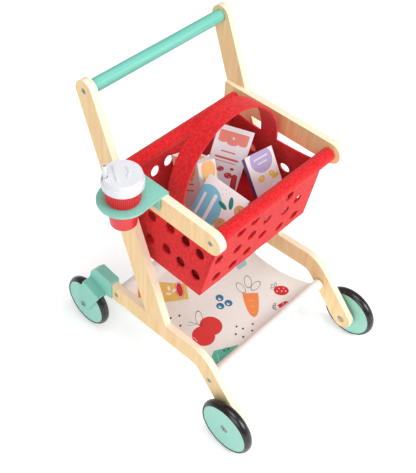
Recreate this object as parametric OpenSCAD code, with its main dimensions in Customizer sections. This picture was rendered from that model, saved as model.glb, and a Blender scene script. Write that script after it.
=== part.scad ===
// Child's wooden push cart with a felt basket, a canvas shelf and a cup holder.
// +X is the cart's right, -Y its front, +Z is up. The origin is on the floor,
// midway between the side frames.

/* [Side frames] */
// Clear width between the two side frames
inner_w = 258; // [250:1:270]
// Thickness of the plywood boards
board_t = 12; // [11:0.5:13]
// Width of the rails, legs and arms
board_w = 35.5; // [34:0.5:37]
// Height of the rail's middle line at Y = 0
rail_z = 118.2; // [116:0.2:121]
// Fall of the rail per unit of length towards the rear
rail_fall = 0.063; // [0.05:0.001:0.08]
// Y of the point where the rail turns down into the front leg
bend_y = -99.6; // [-102:0.2:-98]
// Radius of the bend on the board's middle line
bend_r = 33; // [28:1:40]
// Y of the rail's rear end, inside the wheel bracket
rail_end_y = 120; // [118:1:122]
// Y of the upright's front edge where it stands on the rail
foot_front_y = -27.3; // [-30:0.1:-25]
// Y of the upright's rear edge where it stands on the rail
foot_back_y = 16.2; // [14:0.1:18]
// Radius of the upright's round top
top_r = 16.5; // [15:0.5:18]

/* [Handle and dowels] */
// Y of the handle's axis
handle_y = 137; // [130:1:142]
// Height of the handle's axis
handle_z = 496; // [470:1:510]
// Diameter of the handle
handle_d = 20; // [18:0.5:22]
// Diameter of the two dowels that hold the basket
basket_dowel_d = 16; // [14:0.5:18]
// Diameter of the two dowels that hold the canvas shelf
shelf_dowel_d = 14; // [12:0.5:15]
// Y of the front shelf dowel
shelf_front_y = -120.3; // [-122:0.1:-119]
// Height of the front shelf dowel
shelf_front_z = 96.1; // [94:0.1:98]
// Y of the rear shelf dowel
shelf_rear_y = 84.6; // [82:0.2:86]

/* [Basket] */
// Height of the arms' middle line
arm_z = 373.5; // [370:0.5:377]
// Y of the front basket dowel and of the arms' round front ends
arm_front_y = -94.5; // [-98:0.5:-90]
// Y of the rear basket dowel
back_dowel_y = 85.7; // [84:0.1:88]
// Y of the arms' square rear ends
arm_end_y = 110; // [108:1:114]
// Depth that each arm is let into its upright
housing_d = 4; // [3:0.5:5]
// Thickness of the felt
felt_t = 3; // [2:0.5:4]
// Half the outer width of the basket
basket_half_w = 118; // [112:1:119]
// Height of the basket's floor, underneath
basket_z = 232; // [225:1:245]
// Y of the basket's lower front edge
basket_front_y = -71; // [-76:1:-66]
// Y of the basket's lower rear edge
basket_back_y = 62; // [56:1:66]
// Height of the side walls' top edge
basket_top_z = 362; // [355:1:363]
// How far the side walls lean inwards at the middle of their top edge
side_lean = 17; // [5:1:20]
// How far the basket's corners lean inwards at the top.
corner_lean = 10; // [0:1:16]
// Diameter of the holes punched in the felt
felt_hole_d = 18; // [12:1:20]
// Width of the carrying strap
strap_w = 30; // [20:1:40]
// Height of the top of the carrying strap
strap_top_z = 467; // [440:1:480]

/* [Canvas shelf] */
// Thickness of the canvas
canvas_t = 1.6; // [1:0.1:2]
// How far the canvas sags between its dowels
canvas_sag = 10; // [6:1:14]
// How far the canvas's side edges curve in at their middle
canvas_waist = 20; // [10:1:40]

/* [Wheels] */
// Radius of the tyres
wheel_r = 46.5; // [45:0.5:47]
// Radius of the wheel discs
disc_r = 41.5; // [40:0.5:42]
// Thickness of the wheel discs
disc_t = 15; // [12:0.5:15]
// Width of the tyres
tyre_w = 16.5; // [15:0.5:16.5]
// Y of the front axles
front_axle_y = -172; // [-174:0.5:-170]
// Y of the rear axles
rear_axle_y = 148.8; // [147:0.2:151]
// Diameter of the axle bolts
axle_d = 6; // [5:0.5:6]
// Radial clearance of a wheel on its axle bolt
axle_gap = 0.05; // [0.03:0.01:0.09]

/* [Cup and holder] */
// X of the cup's axis
cup_x = -171; // [-173:1:-170]
// Y of the cup's axis
cup_y = 29; // [24:1:32]
// Outer radius of the holder's ring
ring_r = 36.5; // [34:0.5:38]
// Radius of the hole in the holder's ring
ring_hole_r = 23.4; // [23.3:0.1:24]
// Thickness of the holder's plate
plate_t = 3.5; // [3:0.5:4]
// Radius of the cup's foot
cup_foot_r = 19; // [17:0.5:19]
// Radius of the cup's mouth
cup_mouth_r = 25.2; // [25:0.1:25.4]
// Height of the cup
cup_h = 74; // [72:1:76]
// Radius of the lid's rim
lid_r = 29; // [28.5:0.5:31]

/* [Play food cartons] */
// Width, depth and height of the biscuit carton
biscuit_size = [72, 24, 138]; // [20:1:138]
// Width, depth and height of the crisps carton
crisps_size = [44, 24, 138]; // [20:1:138]
// Width, depth and height of the juice carton
juice_size = [56, 34, 128]; // [20:1:128]
// Width, depth and height of the shake carton
shake_size = [54, 32, 146]; // [20:1:146]

/* [Hidden] */
$fn = 64;
inner_x = inner_w / 2;
outer_x = inner_x + board_t;
arm_outer_x = inner_x + housing_d;
arm_inner_x = arm_outer_x - board_t;
handle_axis = [handle_y, handle_z];
front_axle = [front_axle_y, wheel_r];
rear_axle = [rear_axle_y, wheel_r];
front_dowel = [arm_front_y, arm_z];
back_dowel = [back_dowel_y, arm_z];
shelf_front = [shelf_front_y, shelf_front_z];
shelf_rear = [shelf_rear_y, rail_mid(shelf_rear_y) - 0.5];
bend = [bend_y, rail_mid(bend_y)];
rail_end = [rail_end_y, rail_mid(rail_end_y)];
foot_mid = [(foot_front_y + foot_back_y) / 2, rail_top((foot_front_y + foot_back_y) / 2)];
lean = atan2(handle_y - foot_mid.x, handle_z - foot_mid.y);
screw_r = 2.2;
screw_head_r = 4.6;
screw_head_h = 2.4;
sleeve_gap = 0.1;
sleeve_r = basket_dowel_d / 2 + sleeve_gap + felt_t;
canvas_r = shelf_dowel_d / 2 + sleeve_gap + canvas_t;
strap_root_x = basket_half_w - side_lean;
spacer_t = 4.1;
spacer_r = 7;
bolt_head_r = 5;
bolt_head_h = 3;
nut_r = 5.5;
nut_t = 5;
front_disc_x = outer_x + spacer_t + 1.1;
rear_disc_x = inner_x + 10.8;
bracket_t = 3;
tongue_x = 156.6;
cap_outer_x = outer_x + 3;
cap_inner_x = inner_x - 2.5;
plate_z = arm_z + board_w / 2 + 0.1;
cup_z = 350;
cup_wall = 2;
cup_top_z = cup_z + cup_h;
cup_slope = (cup_mouth_r - cup_foot_r) / cup_h;
band_z = plate_z + plate_t + 0.15;
lid_z = cup_top_z - 3;
straw_at = [-20.5, 11.5];
straw_seat = 8;
straw_h = 30;
front_holes = [[-100, 305], [-90, 255], [-62, 338], [-57, 294], [-54, 252], [-34, 341], [-29, 303],
    [-26, 260], [0, 315], [3, 276], [43, 335], [48, 296], [50, 255], [74, 304], [86, 255]];
side_holes = [[-60, 308], [-58, 266], [-31, 310], [-28, 268], [0, 312], [1, 272], [36, 310], [34, 268]];

function rail_mid(y) = rail_z - rail_fall * y;
function rail_top(y) = rail_mid(y) + board_w / 2 * sqrt(1 + rail_fall * rail_fall);
function unit(v) = v / norm(v);
function turned(v) = [-v.y, v.x];

// ---- shared shapes -------------------------------------------------------

// Draws the right-hand piece, or its mirror image on the left.
module on_side(side) {
    if (side == "right") children();
    else mirror([1, 0, 0]) children();
}

module on_both_sides() {
    on_side("right") children();
    on_side("left") children();
}

// Stands a profile drawn as (y, z) up across the cart, from x0 to x1.
module across(x0, x1) {
    translate([x0, 0, 0]) rotate([90, 0, 90]) linear_extrude(x1 - x0) children();
}

module rod_across(x0, x1, at, r) {
    across(x0, x1) translate(at) circle(r);
}

// A straight board's outline from p to q.
module strip(p, q, w) {
    d = unit(q - p);
    n = turned(d) * w / 2;
    polygon([p + n, q + n, q - n, p - n]);
}

// A board between two faces that runs from p through a rounded corner at v to q.
module bent_board(x0, x1, p, v, q, w, r) {
    d1 = unit(v - p);
    d2 = unit(q - v);
    turn = acos(d1 * d2);
    reach = r * tan(turn / 2);
    side = sign(d1.x * d2.y - d1.y * d2.x);
    t1 = v - d1 * reach;
    t2 = v + d2 * reach;
    middle = t1 + turned(d1) * side * r;
    far = 3 * (r + w);
    across(x0, x1) strip(p, t1, w);
    across(x0, x1) strip(t2, q, w);
    across(x0, x1) intersection() {
        difference() {
            translate(middle) circle(r + w / 2);
            translate(middle) circle(r - w / 2);
        }
        polygon([middle, middle + unit(t1 - middle) * far, v + unit(v - middle) * far,
            middle + unit(t2 - middle) * far]);
    }
}

// A countersunk screw along +X, with its head's face at x = 0 and a hexagon socket.
module screw(length) {
    rotate([0, 90, 0]) difference() {
        union() {
            cylinder(h = screw_head_h, r = screw_head_r);
            cylinder(h = length, r = screw_r);
        }
        translate([0, 0, -1]) cylinder(h = 2.6, r = 1.9, $fn = 6);
    }
}

// The hole that takes such a screw in the board that holds its head.
module screw_hole(face_x, at, length) {
    translate([face_x, at.x, at.y]) rotate([0, -90, 0]) {
        translate([0, 0, -1]) cylinder(h = 1.3 + screw_head_h, r = screw_head_r);
        cylinder(h = length, r = screw_r);
    }
}

// Screws on both sides whose heads lie 0.3 below the outer face at face_x.
module screw_pair(face_x, at, length) {
    on_both_sides() translate([face_x - 0.3, at.x, at.y]) mirror([1, 0, 0]) screw(length);
}

// ---- side frames ---------------------------------------------------------

module arm_board(x0, x1) {
    across(x0, x1) strip(front_dowel, [arm_end_y, arm_z], board_w);
    rod_across(x0, x1, front_dowel, board_w / 2);
}

module upright(side) {
    reach = [cos(lean), -sin(lean)] * top_r;
    color("burlywood") on_side(side) difference() {
        across(inner_x, outer_x) {
            polygon([[foot_front_y, rail_top(foot_front_y)], [foot_back_y, rail_top(foot_back_y)],
                handle_axis + reach, handle_axis - reach]);
            translate(handle_axis) circle(top_r);
        }
        arm_board(inner_x - 1, arm_outer_x);
        screw_hole(outer_x, handle_axis, 40);
        screw_hole(outer_x, back_dowel, 40);
        foot_pegs();
    }
}

module base_rail(side) {
    color("burlywood") on_side(side) difference() {
        union() {
            bent_board(inner_x, outer_x, rail_end, bend, front_axle, board_w, bend_r);
            rod_across(inner_x, outer_x, front_axle, board_w / 2);
        }
        rod_across(inner_x - 1, outer_x + 1, front_axle, axle_d / 2);
        rod_across(inner_x - 1, inner_x + nut_t, front_axle, nut_r + 0.6);
        screw_hole(outer_x, shelf_front, 40);
        screw_hole(outer_x, shelf_rear, 40);
        translate([inner_x - 3, 108, rail_mid(108)]) rotate([0, 90, 0]) cylinder(h = 11, r = 1.6);
        foot_pegs();
    }
}

module basket_arm(side) {
    color("burlywood") on_side(side) difference() {
        union() arm_board(arm_inner_x, arm_outer_x);
        screw_hole(arm_outer_x, front_dowel, 40);
        rod_across(arm_inner_x - 1, arm_outer_x + 1, back_dowel, screw_r);
    }
}

// Two pegs that join the upright's foot to the rail, on the right-hand side.
module foot_pegs() {
    for (shift = [-11, 11])
        translate([(inner_x + outer_x) / 2, foot_mid.x + shift, rail_top(foot_mid.x + shift)])
            rotate([-lean, 0, 0]) translate([0, 0, -14]) cylinder(h = 34, r = 3);
}

module foot_dowels() {
    color("tan") on_both_sides() foot_pegs();
}

// ---- handle and dowels ---------------------------------------------------

// A round bar between two faces, with a pilot hole for a screw in each end.
module bar(half_length, at, r) {
    difference() {
        rod_across(-half_length, half_length, at, r);
        on_both_sides() rod_across(half_length - 30, half_length + 1, at, screw_r);
    }
}

module handle_bar() {
    color("mediumaquamarine") bar(inner_x, handle_axis, handle_d / 2);
}

module basket_front_dowel() {
    color("wheat") bar(arm_inner_x, front_dowel, basket_dowel_d / 2);
}

module basket_back_dowel() {
    color("wheat") bar(arm_inner_x, back_dowel, basket_dowel_d / 2);
}

module shelf_front_dowel() {
    color("wheat") bar(inner_x, shelf_front, shelf_dowel_d / 2);
}

module shelf_rear_dowel() {
    color("wheat") bar(inner_x, shelf_rear, shelf_dowel_d / 2);
}

module handle_screws() {
    color("silver") screw_pair(outer_x, handle_axis, 38);
}

module arm_front_screws() {
    color("silver") screw_pair(arm_outer_x, front_dowel, 38);
}

module arm_rear_screws() {
    color("silver") screw_pair(outer_x, back_dowel, 38);
}

module shelf_front_screws() {
    color("silver") screw_pair(outer_x, shelf_front, 38);
}

module shelf_rear_screws() {
    color("silver") screw_pair(outer_x, shelf_rear, 38);
}

// ---- felt basket ---------------------------------------------------------

// How far in the side wall's outer face stands at height z, u from -1 (front) to 1 (rear).
function side_in(u, z) =
    (corner_lean + (side_lean - corner_lean) * (1 - u * u)) * pow(max(0, z - basket_z) / (basket_top_z - basket_z), 1.5);

// What is cut from the ends of the front and rear walls, so that they narrow upwards like the sides.
module wall_end_cuts() {
    top = basket_top_z - 4;
    on_both_sides() translate([0, 150, 0]) rotate([90, 0, 0]) linear_extrude(300)
        polygon([for (k = [0:6]) let (z = basket_z + (top - basket_z) * k / 6)
                [basket_half_w - side_in(1, z), z],
            [basket_half_w + 5, top], [basket_half_w + 5, basket_z]]);
}
// Y of the front and rear walls' inner faces at height z.
function wall_front_y(z) = basket_front_y + felt_t
    + (arm_front_y - basket_front_y) * (z - basket_z) / (arm_z - basket_z);
function wall_back_y(z) = basket_back_y - felt_t
    + (back_dowel_y - basket_back_y) * (z - basket_z) / (arm_z - basket_z);

// A felt wall's profile that hangs from its dowel: toward is 1 when the basket lies on its +Y side.
module hanging_profile(dowel, foot_y, toward) {
    difference() {
        union() {
            translate(dowel) circle(sleeve_r);
            polygon([dowel, [foot_y, basket_z], [foot_y + toward * felt_t, basket_z],
                dowel + [toward * felt_t, 0]]);
        }
        translate(dowel) circle(basket_dowel_d / 2 + sleeve_gap);
    }
}

module felt_front_panel() {
    color("firebrick") difference() {
        across(-basket_half_w, basket_half_w) hanging_profile(front_dowel, basket_front_y, 1);
        wall_end_cuts();
        for (hole = front_holes)
            translate([hole.x, -120, hole.y]) rotate([-90, 0, 0]) cylinder(h = 70, d = felt_hole_d);
    }
}

module felt_back_panel() {
    color("firebrick") difference() {
        across(-basket_half_w, basket_half_w) hanging_profile(back_dowel, basket_back_y, -1);
        wall_end_cuts();
        for (hole = front_holes)
            translate([hole.x, 50, hole.y]) rotate([-90, 0, 0]) cylinder(h = 70, d = felt_hole_d);
    }
}

module felt_floor() {
    color("firebrick")
        translate([-basket_half_w + felt_t + 0.5, basket_front_y + felt_t + 1, basket_z])
            cube([2 * (basket_half_w - felt_t - 0.5), basket_back_y - basket_front_y - 2 * felt_t - 2, felt_t]);
}

// A side wall: a sheet of felt between the front and rear walls whose top leans inwards.
module felt_side(side) {
    columns = 16;
    rows = 8;
    function node_point(i, j, depth) =
        let (z = basket_z + (basket_top_z - basket_z) * j / rows, u = -1 + 2 * i / columns,
            y0 = wall_front_y(z), y1 = wall_back_y(z))
        [basket_half_w - side_in(u, z) - depth, (y0 + y1) / 2 + u * (y1 - y0) / 2, z];
    outer = [for (j = [0:rows]) for (i = [0:columns]) node_point(i, j, 0)];
    inner = [for (j = [0:rows]) for (i = [0:columns]) node_point(i, j, felt_t)];
    n = columns + 1;
    total = n * (rows + 1);
    last = rows * n;
    outer_faces = [for (j = [0:rows - 1]) for (i = [0:columns - 1]) each
        [[j * n + i, (j + 1) * n + i, j * n + i + 1],
         [j * n + i + 1, (j + 1) * n + i, (j + 1) * n + i + 1]]];
    inner_faces = [for (f = outer_faces) [f[0] + total, f[2] + total, f[1] + total]];
    rims = [for (i = [0:columns - 1]) each
            [[i, i + 1, i + total], [i + 1, i + 1 + total, i + total],
             [last + i, last + i + total, last + i + 1],
             [last + i + 1, last + i + total, last + i + 1 + total]]];
    ends = [for (j = [0:rows - 1]) each
            [[j * n, j * n + total, (j + 1) * n], [(j + 1) * n, j * n + total, (j + 1) * n + total],
             [j * n + columns, (j + 1) * n + columns, j * n + columns + total],
             [(j + 1) * n + columns, (j + 1) * n + columns + total, j * n + columns + total]]];
    color("firebrick") on_side(side) difference() {
        polyhedron(concat(outer, inner), concat(outer_faces, inner_faces, rims, ends));
        for (hole = side_holes) rod_across(80, 130, hole, felt_hole_d / 2);
    }
}

// The strap that arches from one side wall to the other: half an ellipse of felt.
module carry_strap() {
    rise = strap_top_z - basket_top_z;
    steps = 28;
    function rim(a, b) = [for (k = [0:steps]) [a * cos(180 * k / steps), b * sin(180 * k / steps)]];
    outer = rim(strap_root_x, rise);
    inner = rim(strap_root_x - felt_t, rise - felt_t);
    color("firebrick") translate([0, strap_w / 2, basket_top_z]) rotate([90, 0, 0])
        linear_extrude(strap_w)
            polygon(concat(outer, [for (k = [steps:-1:0]) inner[k]]));
}

// ---- canvas shelf --------------------------------------------------------

// A hammock of canvas: a sleeve round each dowel and a sagging sheet between them.
module canvas_shelf() {
    chord = norm(shelf_rear - shelf_front);
    sag_r = (chord * chord / 4 + canvas_sag * canvas_sag) / (2 * canvas_sag);
    along = unit(shelf_rear - shelf_front);
    hang = (shelf_front + shelf_rear) / 2 - [0, shelf_dowel_d / 2 + sleeve_gap];
    middle = hang + turned(along) * (sag_r - canvas_sag);
    half = chord / 2;
    waist_r = (half * half + canvas_waist * canvas_waist) / (2 * canvas_waist);
    color("linen") difference() {
        across(-inner_x + 3, inner_x - 3) difference() {
            union() {
                translate(shelf_front) circle(canvas_r);
                translate(shelf_rear) circle(canvas_r);
                intersection() {
                    difference() {
                        translate(middle) circle(sag_r + canvas_t, $fn = 360);
                        translate(middle) circle(sag_r, $fn = 360);
                    }
                    polygon([middle, hang - along * half * 1.01 - turned(along) * 60,
                        hang + along * half * 1.01 - turned(along) * 60]);
                }
            }
            translate(shelf_front) circle(shelf_dowel_d / 2 + sleeve_gap);
            translate(shelf_rear) circle(shelf_dowel_d / 2 + sleeve_gap);
        }
        on_both_sides()
            translate([inner_x - 3 - canvas_waist + waist_r, (shelf_front.x + shelf_rear.x) / 2, 50])
                cylinder(h = 100, r = waist_r, $fn = 180);
    }
}

// ---- wheels --------------------------------------------------------------

module disc(x0, axle) {
    difference() {
        rod_across(x0, x0 + disc_t, axle, disc_r);
        rod_across(x0 - 1, x0 + disc_t + 1, axle, axle_d / 2 + axle_gap);
        children();
    }
}

module tyre(x0, axle) {
    tread_r = 10;
    translate([x0 + disc_t / 2, axle.x, axle.y]) rotate([0, 90, 0])
        rotate_extrude($fn = 128) intersection() {
            translate([wheel_r - tread_r, 0]) circle(tread_r);
            translate([disc_r, -tyre_w / 2]) square([10, tyre_w]);
        }
}

module front_disc(side) {
    color("mediumaquamarine") on_side(side) disc(front_disc_x, front_axle)
        rod_across(front_disc_x + disc_t - bolt_head_h - 1, front_disc_x + disc_t + 1, front_axle,
            bolt_head_r + 1);
}

module front_tyre(side) {
    color("dimgray") on_side(side) tyre(front_disc_x, front_axle);
}

module rear_disc(side) {
    color("mediumaquamarine") on_side(side) disc(rear_disc_x, rear_axle);
}

module rear_tyre(side) {
    color("dimgray") on_side(side) tyre(rear_disc_x, rear_axle);
}

// A bolt along -X whose head's outer face is at x1 and whose shank ends at x0.
module axle_bolt(x0, x1, axle) {
    difference() {
        union() {
            rod_across(x0, x1 - 1, axle, axle_d / 2);
            rod_across(x1 - bolt_head_h, x1, axle, bolt_head_r);
        }
        translate([x1 - 2, axle.x, axle.y]) rotate([0, 90, 0]) cylinder(h = 3, r = 2.4, $fn = 6);
    }
}

module axle_nut(x0, axle) {
    difference() {
        translate([x0, axle.x, axle.y]) rotate([0, 90, 0]) cylinder(h = nut_t - 1, r = nut_r, $fn = 6);
        rod_across(x0 - 1, x0 + nut_t, axle, axle_d / 2);
    }
}

module front_axle_bolts() {
    color("silver") on_both_sides()
        axle_bolt(inner_x + 0.5, front_disc_x + disc_t - 0.4, front_axle);
}

module front_axle_nuts() {
    color("silver") on_both_sides() axle_nut(inner_x + 1, front_axle);
}

module front_spacers() {
    color("whitesmoke") on_both_sides() difference() {
        rod_across(outer_x, outer_x + spacer_t, front_axle, spacer_r);
        rod_across(outer_x - 1, outer_x + spacer_t + 1, front_axle, axle_d / 2);
    }
}

module rear_axle_bolts() {
    color("silver") on_both_sides()
        axle_bolt(inner_x + 1, tongue_x + bracket_t + 1.6, rear_axle);
}

module rear_axle_nuts() {
    color("silver") on_both_sides() axle_nut(inner_x + 1.4, rear_axle);
}

// ---- rear wheel brackets -------------------------------------------------

// A moulded bracket: a cap over the rail's end, a shelf over the tyre, and a tongue on each
// side of the wheel that carries the axle bolt.
module bracket(side) {
    shelf_front_yz = [109, 94];
    shelf_rear_yz = [147, 104];
    cap = [[93.5, 97], [93.5, 136], [129, 139.5], [143, 124], shelf_rear_yz, shelf_front_yz];
    tongue = [shelf_rear_yz, shelf_front_yz, [134, 46], [148.8, 33.5], [160, 52], [159, 78]];
    eye_r = 13;
    color("mediumaquamarine") on_side(side) difference() {
        union() {
            across(cap_inner_x, cap_outer_x) polygon(cap);
            across(inner_x, tongue_x + bracket_t) polygon([shelf_front_yz, shelf_rear_yz,
                shelf_rear_yz + [-1, 4], shelf_front_yz + [-1, 4]]);
            across(tongue_x, tongue_x + bracket_t) tongue_outline(tongue, eye_r);
            across(inner_x + 5.5, inner_x + 8.5) tongue_outline(tongue, eye_r);
        }
        across(inner_x, outer_x) strip([60, rail_mid(60)], rail_end, board_w);
        rod_across(inner_x, tongue_x + bracket_t + 1, rear_axle, axle_d / 2);
        rod_across(tongue_x + bracket_t - 1.4, tongue_x + bracket_t + 1, rear_axle, bolt_head_r);
        translate([inner_x - 4, 108, rail_mid(108)]) rotate([0, 90, 0]) cylinder(h = 5, r = 1.6);
    }
}

module tongue_outline(points, eye_r) {
    polygon(points);
    translate(rear_axle) circle(eye_r);
}

module bracket_screws() {
    color("silver") on_both_sides() translate([cap_inner_x, 108, rail_mid(108)]) rotate([0, 90, 0]) {
        translate([0, 0, -1.8]) cylinder(h = 1.8, r = 3.2);
        cylinder(h = 10, r = 1.6);
    }
}

// ---- cup holder, cup and lid ---------------------------------------------

// A ring on a plate that rests on the left arm, with a clip on each side of the arm.
module cup_holder() {
    clip_x = arm_outer_x + 1.3;
    lip_x = arm_inner_x - 0.4;
    color("mediumaquamarine") difference() {
        union() {
            translate([0, 0, plate_z]) linear_extrude(plate_t) {
                translate([cup_x, cup_y]) circle(ring_r);
                polygon([[cup_x + 4, cup_y - ring_r + 0.5], [-clip_x, -5], [-lip_x + 1.5, -5],
                    [-lip_x + 1.5, 58], [cup_x + 8, cup_y + ring_r - 1.5]]);
            }
            translate([-clip_x - 3, -5, plate_z - 20]) cube([3, 63, 20]);
            translate([-lip_x, -5, plate_z - 11]) cube([2.6, 63, 11]);
        }
        translate([cup_x, cup_y, plate_z - 1]) cylinder(h = plate_t + 2, r = ring_hole_r);
        translate([-clip_x - 4, 27, plate_z - 20]) rotate([0, 90, 0]) cylinder(h = 5, r = 9);
    }
}

module cup() {
    mouth = cup_mouth_r;
    foot = cup_foot_r;
    color("crimson") translate([cup_x, cup_y, cup_z]) rotate_extrude($fn = 96)
        polygon([[0, 0], [foot, 0], [mouth, cup_h], [mouth - cup_wall, cup_h],
            [foot - cup_wall + cup_slope * cup_wall, cup_wall], [0, cup_wall]]);
}

// The fluted band round the cup above the holder, which stops it from falling through.
module cup_band() {
    z0 = band_z - cup_z;
    z1 = lid_z - 0.3 - cup_z;
    color("crimson") translate([cup_x, cup_y, cup_z]) rotate_extrude($fn = 96)
        polygon([[cup_foot_r + cup_slope * z0, z0], [cup_foot_r + cup_slope * z0 + 1.2, z0],
            [cup_foot_r + cup_slope * z1 + 1.2, z1], [cup_foot_r + cup_slope * z1, z1]]);
}

// Heights are from the lid's lower edge.
module cup_lid() {
    color("whitesmoke") translate([cup_x, cup_y, lid_z]) difference() {
        rotate_extrude($fn = 96)
            polygon([[0, 3.2], [lid_r - 3.3, 3.2], [lid_r - 3.3, 0], [lid_r, 0], [lid_r + 0.3, 5],
                [lid_r, 10], [lid_r - 1.5, 11], [lid_r - 2, 16.5], [lid_r - 2.6, 18.5], [0, 18.5]]);
        translate([straw_at.x, straw_at.y, straw_seat]) cylinder(h = 12, r = 4);
    }
}

module straw() {
    color("gainsboro") translate([cup_x, cup_y, lid_z] + [straw_at.x, straw_at.y, straw_seat])
        difference() {
            cylinder(h = straw_h, r = 2.8);
            translate([0, 0, 1]) cylinder(h = straw_h, r = 2.2);
        }
}

// ---- play food cartons ---------------------------------------------------

// A carton stands on the middle of its front lower edge, turned by the three angles. Its roof
// slopes down by drop from the front edge to the back.
module carton(size, drop, at, turn) {
    translate(at) rotate(turn) across(-size.x / 2, size.x / 2)
        polygon([[0, 0], [size.y, 0], [size.y, size.z - drop], [0, size.z]]);
}

module biscuit_carton() {
    color("white") carton(biscuit_size, 10, [-109.5, -33.5, 257], [-31.5, 6, -86.5]);
}

module crisps_carton() {
    color("plum") carton(crisps_size, 21, [69, -62, 250], [-9.5, -17, -24]);
}

module juice_carton() {
    color("orange") carton(juice_size, 6, [-46, 4.5, 248], [-3, -18.5, -92.5]);
}

module shake_carton() {
    color("salmon") carton(shake_size, 17, [3, 20, 254], [-15.5, 9.5, -57.5]);
}

upright("left");  // upright_left
upright("right");  // upright_right
base_rail("left");  // base_rail_left
base_rail("right");  // base_rail_right
basket_arm("left");  // basket_arm_left
basket_arm("right");  // basket_arm_right
handle_bar();
basket_front_dowel();
basket_back_dowel();
shelf_front_dowel();
shelf_rear_dowel();
foot_dowels();
handle_screws();
arm_front_screws();
arm_rear_screws();
shelf_front_screws();
shelf_rear_screws();
felt_front_panel();
felt_back_panel();
felt_side("left");  // felt_side_left
felt_side("right");  // felt_side_right
felt_floor();
carry_strap();
canvas_shelf();
front_disc("left");  // front_disc_left
front_tyre("left");  // front_tyre_left
front_disc("right");  // front_disc_right
front_tyre("right");  // front_tyre_right
rear_disc("left");  // rear_disc_left
rear_tyre("left");  // rear_tyre_left
rear_disc("right");  // rear_disc_right
rear_tyre("right");  // rear_tyre_right
front_axle_bolts();
front_axle_nuts();
front_spacers();
rear_axle_bolts();
rear_axle_nuts();
bracket("left");  // bracket_left
bracket("right");  // bracket_right
bracket_screws();
cup_holder();
cup();
cup_band();
cup_lid();
straw();
biscuit_carton();
crisps_carton();
juice_carton();
shake_carton();
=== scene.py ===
"""A child's wooden push cart with a felt basket, a canvas shelf, a cup in its holder and play food."""
import math

import bmesh
import bpy
from mathutils import Matrix, Vector, noise


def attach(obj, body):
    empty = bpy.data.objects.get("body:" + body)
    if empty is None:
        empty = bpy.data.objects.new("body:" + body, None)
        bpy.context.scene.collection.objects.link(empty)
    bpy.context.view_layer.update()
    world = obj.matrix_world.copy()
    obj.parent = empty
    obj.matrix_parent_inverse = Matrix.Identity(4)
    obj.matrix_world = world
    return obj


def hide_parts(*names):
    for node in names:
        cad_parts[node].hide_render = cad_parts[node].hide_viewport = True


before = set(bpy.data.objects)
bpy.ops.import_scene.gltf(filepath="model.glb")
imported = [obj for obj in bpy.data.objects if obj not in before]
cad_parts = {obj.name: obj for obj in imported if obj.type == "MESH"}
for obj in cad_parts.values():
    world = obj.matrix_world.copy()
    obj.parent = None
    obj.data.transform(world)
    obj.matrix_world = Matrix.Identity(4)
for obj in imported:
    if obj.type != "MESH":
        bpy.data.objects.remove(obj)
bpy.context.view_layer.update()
MM = 0.001

# ---- Studio ---------------------------------------------------------------
# A white sweep, a large soft light from the front right and a weaker one from the left.
# The camera looks down on the cart's front left corner.

scene = bpy.context.scene
scene.view_settings.view_transform = "Standard"
scene.world = bpy.data.worlds.new("studio")
scene.world.use_nodes = True
scene.world.node_tree.nodes["Background"].inputs["Color"].default_value = (1, 1, 1, 1)
scene.world.node_tree.nodes["Background"].inputs["Strength"].default_value = 0.42

bpy.ops.mesh.primitive_plane_add(size=12)
floor = bpy.context.object
floor.name = "floor"
paper = bpy.data.materials.new("white_paper")
paper.use_nodes = True
paper_sockets = paper.node_tree.nodes["Principled BSDF"].inputs
paper_sockets["Base Color"].default_value = (0.93, 0.93, 0.935, 1)
paper_sockets["Roughness"].default_value = 1
paper_sockets["Emission Color"].default_value = (1, 1, 1, 1)
paper_sockets["Emission Strength"].default_value = 0.3
floor.data.materials.append(paper)


def soft_light(name, place, aim, size, power):
    """A square area light at place that points at aim."""
    bpy.ops.object.light_add(type="AREA", location=place)
    light = bpy.context.object
    light.name = name
    light.data.size = size
    light.data.energy = power
    light.rotation_euler = (Vector(aim) - Vector(place)).to_track_quat("-Z", "Y").to_euler()


soft_light("key", (1.0, -2.3, 1.75), (0, 0, 0.25), 1.4, 46)
soft_light("fill", (-2.0, -0.9, 1.7), (0, 0, 0.25), 1.6, 22)
soft_light("top", (0.0, -0.3, 2.6), (0, 0, 0.2), 1.2, 20)

azimuth = math.radians(-44.377)
elevation = math.radians(42.435)
roll = math.radians(0.443)
target = Vector((0.0486, 0.2031, 0.2092))
distance = 1.4301
backward = Vector((math.sin(azimuth) * math.cos(elevation), -math.cos(azimuth) * math.cos(elevation),
                   math.sin(elevation)))
rightward = (-backward).cross(Vector((0, 0, 1))).normalized()
upward = rightward.cross(-backward)
rightward, upward = (rightward * math.cos(roll) + upward * math.sin(roll),
                     upward * math.cos(roll) - rightward * math.sin(roll))
bpy.ops.object.camera_add()
camera = bpy.context.object
camera.matrix_world = Matrix.Translation(target + backward * distance) @ Matrix(
    (rightward, upward, backward)).transposed().to_4x4()
camera.data.sensor_fit = "VERTICAL"
camera.data.sensor_height = 36
camera.data.lens = 63.08
camera.data.shift_x = 0.1227
camera.data.shift_y = -0.1619
scene.camera = camera

# ---- Side frames ----------------------------------------------------------
# Uprights, base rails and arms sawn from 12 mm birch plywood. The arrises are rounded over
# with a small cutter, and the boards have a clear satin lacquer.


class Wire:
    """A value in a finish, so that shader maths reads as plain arithmetic."""

    def __init__(self, finish, socket):
        self.finish = finish
        self.socket = socket

    def __add__(self, other):
        return self.finish.math("ADD", self, other)

    def __sub__(self, other):
        return self.finish.math("SUBTRACT", self, other)

    def __rsub__(self, other):
        return self.finish.math("SUBTRACT", other, self)

    def __mul__(self, other):
        return self.finish.math("MULTIPLY", self, other)

    def __truediv__(self, other):
        return self.finish.math("DIVIDE", self, other)

    def __abs__(self):
        return self.finish.math("ABSOLUTE", self)

    __radd__ = __add__
    __rmul__ = __mul__


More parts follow.
